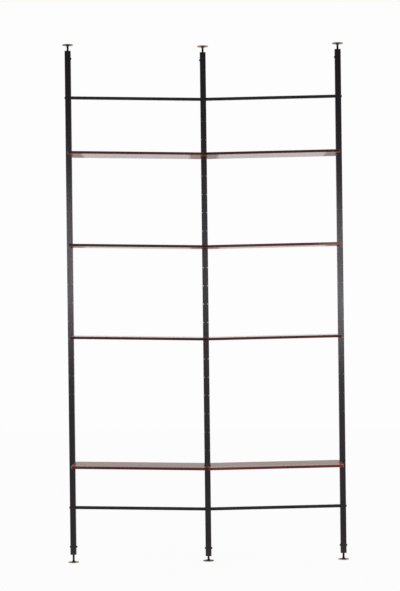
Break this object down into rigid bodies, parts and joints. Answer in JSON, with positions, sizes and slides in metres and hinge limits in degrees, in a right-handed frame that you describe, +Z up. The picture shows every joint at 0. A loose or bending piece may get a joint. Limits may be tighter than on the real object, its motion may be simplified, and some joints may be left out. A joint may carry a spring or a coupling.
{
  "type": "floor-to-ceiling bookcase",
  "caption": "Open bookcase of slim square posts braced between floor and ceiling by screw feet, with tie rails and lift-off notched wooden shelves on pins.",
  "frame": {"origin": "on the floor, on the middle post's axis, half way through the depth", "axes": "+X to the right along the row of posts, +Y from front to back, +Z up"},
  "size_m": [1.536, 0.268, 2.8317],
  "materials": {
    "post_lacquer": "satin black lacquer",
    "rail_lacquer": "satin black lacquer",
    "shelf_wood": "varnished dark reddish wood",
    "pad_brass": "aged brass",
    "stem_steel": "browned steel",
    "pin_steel": "dark steel",
    "fixing_steel": "blackened steel",
    "inner_steel": "plain machined steel"
  },
  "bodies": {
    "frame": {"bottom_plug_bolts": "fixing_steel", "bottom_plug_nuts": "fixing_steel", "plug_bottom_left": "inner_steel", "plug_bottom_middle": "inner_steel", "plug_bottom_right": "inner_steel", "plug_top_left": "inner_steel", "plug_top_middle": "inner_steel", "plug_top_right": "inner_steel", "post_left": "post_lacquer", "post_middle": "post_lacquer", "post_right": "post_lacquer", "rail_bottom_left": "rail_lacquer", "rail_bottom_right": "rail_lacquer", "rail_insert_bottom_left_a": "inner_steel", "rail_insert_bottom_left_b": "inner_steel", "rail_insert_bottom_right_a": "inner_steel", "rail_insert_bottom_right_b": "inner_steel", "rail_insert_top_left_a": "inner_steel", "rail_insert_top_left_b": "inner_steel", "rail_insert_top_right_a": "inner_steel", "rail_insert_top_right_b": "inner_steel", "rail_screws": "fixing_steel", "rail_studs": "inner_steel", "rail_top_left": "rail_lacquer", "rail_top_right": "rail_lacquer", "shelf_pin_sleeves_1": "pin_steel", "shelf_pin_sleeves_2": "pin_steel", "shelf_pin_sleeves_3": "pin_steel", "shelf_pin_sleeves_4": "pin_steel", "shelf_pins_1": "pin_steel", "shelf_pins_2": "pin_steel", "shelf_pins_3": "pin_steel", "shelf_pins_4": "pin_steel", "stem_lock_screws": "fixing_steel", "top_plug_screws": "fixing_steel"},
    "foot_pad_bottom_left": {"pad_bottom_left": "pad_brass"},
    "foot_stem_bottom_left": {"stem_bottom_left": "stem_steel"},
    "foot_pad_bottom_middle": {"pad_bottom_middle": "pad_brass"},
    "foot_stem_bottom_middle": {"stem_bottom_middle": "stem_steel"},
    "foot_pad_bottom_right": {"pad_bottom_right": "pad_brass"},
    "foot_stem_bottom_right": {"stem_bottom_right": "stem_steel"},
    "foot_pad_top_left": {"pad_top_left": "pad_brass"},
    "foot_stem_top_left": {"stem_top_left": "stem_steel"},
    "foot_pad_top_middle": {"pad_top_middle": "pad_brass"},
    "foot_stem_top_middle": {"stem_top_middle": "stem_steel"},
    "foot_pad_top_right": {"pad_top_right": "pad_brass"},
    "foot_stem_top_right": {"stem_top_right": "stem_steel"},
    "shelf_1_left_board": {"shelf_1_left": "shelf_wood"},
    "shelf_1_right_board": {"shelf_1_right": "shelf_wood"},
    "shelf_2_left_board": {"shelf_2_left": "shelf_wood"},
    "shelf_2_right_board": {"shelf_2_right": "shelf_wood"},
    "shelf_3_left_board": {"shelf_3_left": "shelf_wood"},
    "shelf_3_right_board": {"shelf_3_right": "shelf_wood"},
    "shelf_4_left_board": {"shelf_4_left": "shelf_wood"},
    "shelf_4_right_board": {"shelf_4_right": "shelf_wood"}
  },
  "joints": [
    {"name": "rise_bottom_left", "type": "slide", "parent": "frame", "child": "foot_pad_bottom_left", "axis": [0, 0, -1], "range_m": [-0.0172, 0.0083]},
    {"name": "turn_bottom_left", "type": "hinge", "parent": "foot_pad_bottom_left", "child": "foot_stem_bottom_left", "pos_m": [-0.738, 0, 0], "axis": [0, 0, -1], "range_deg": [-3538.31, 1707.45]},
    {"name": "rise_bottom_middle", "type": "slide", "parent": "frame", "child": "foot_pad_bottom_middle", "axis": [0, 0, -1], "range_m": [-0.001, 0.0245]},
    {"name": "turn_bottom_middle", "type": "hinge", "parent": "foot_pad_bottom_middle", "child": "foot_stem_bottom_middle", "pos_m": [0, 0, 0], "axis": [0, 0, -1], "range_deg": [-205.73, 5040.02]},
    {"name": "rise_bottom_right", "type": "slide", "parent": "frame", "child": "foot_pad_bottom_right", "axis": [0, 0, -1], "range_m": [-0.0097, 0.0158]},
    {"name": "turn_bottom_right", "type": "hinge", "parent": "foot_pad_bottom_right", "child": "foot_stem_bottom_right", "pos_m": [0.738, 0, 0], "axis": [0, 0, -1], "range_deg": [-1995.45, 3250.31]},
    {"name": "rise_top_left", "type": "slide", "parent": "frame", "child": "foot_pad_top_left", "axis": [0, 0, 1], "range_m": [-0.0075, 0.018]},
    {"name": "turn_top_left", "type": "hinge", "parent": "foot_pad_top_left", "child": "foot_stem_top_left", "pos_m": [-0.738, 0, 2.8317], "axis": [0, 0, 1], "range_deg": [-1542.88, 3702.88]},
    {"name": "rise_top_middle", "type": "slide", "parent": "frame", "child": "foot_pad_top_middle", "axis": [0, 0, 1], "range_m": [-0.0075, 0.018]},
    {"name": "turn_top_middle", "type": "hinge", "parent": "foot_pad_top_middle", "child": "foot_stem_top_middle", "pos_m": [0, 0, 2.8155], "axis": [0, 0, 1], "range_deg": [-1542.88, 3702.88]},
    {"name": "rise_top_right", "type": "slide", "parent": "frame", "child": "foot_pad_top_right", "axis": [0, 0, 1], "range_m": [-0.0075, 0.018]},
    {"name": "turn_top_right", "type": "hinge", "parent": "foot_pad_top_right", "child": "foot_stem_top_right", "pos_m": [0.738, 0, 2.8242], "axis": [0, 0, 1], "range_deg": [-1542.88, 3702.88]},
    {"name": "lift_shelf_1_left", "type": "slide", "parent": "frame", "child": "shelf_1_left_board", "axis": [0, 0, 1], "range_m": [0, 0.1]},
    {"name": "lift_shelf_1_right", "type": "slide", "parent": "frame", "child": "shelf_1_right_board", "axis": [0, 0, 1], "range_m": [0, 0.1]},
    {"name": "lift_shelf_2_left", "type": "slide", "parent": "frame", "child": "shelf_2_left_board", "axis": [0, 0, 1], "range_m": [0, 0.1]},
    {"name": "lift_shelf_2_right", "type": "slide", "parent": "frame", "child": "shelf_2_right_board", "axis": [0, 0, 1], "range_m": [0, 0.1]},
    {"name": "lift_shelf_3_left", "type": "slide", "parent": "frame", "child": "shelf_3_left_board", "axis": [0, 0, 1], "range_m": [0, 0.1]},
    {"name": "lift_shelf_3_right", "type": "slide", "parent": "frame", "child": "shelf_3_right_board", "axis": [0, 0, 1], "range_m": [0, 0.1]},
    {"name": "lift_shelf_4_left", "type": "slide", "parent": "frame", "child": "shelf_4_left_board", "axis": [0, 0, 1], "range_m": [0, 0.1]},
    {"name": "lift_shelf_4_right", "type": "slide", "parent": "frame", "child": "shelf_4_right_board", "axis": [0, 0, 1], "range_m": [0, 0.1]}
  ],
  "couplings": [
    {"joint": "turn_bottom_left", "follows": "rise_bottom_left", "rad_per_m": 3590.4},
    {"joint": "turn_bottom_middle", "follows": "rise_bottom_middle", "rad_per_m": 3590.4},
    {"joint": "turn_bottom_right", "follows": "rise_bottom_right", "rad_per_m": 3590.4},
    {"joint": "turn_top_left", "follows": "rise_top_left", "rad_per_m": 3590.4},
    {"joint": "turn_top_middle", "follows": "rise_top_middle", "rad_per_m": 3590.4},
    {"joint": "turn_top_right", "follows": "rise_top_right", "rad_per_m": 3590.4}
  ]
}
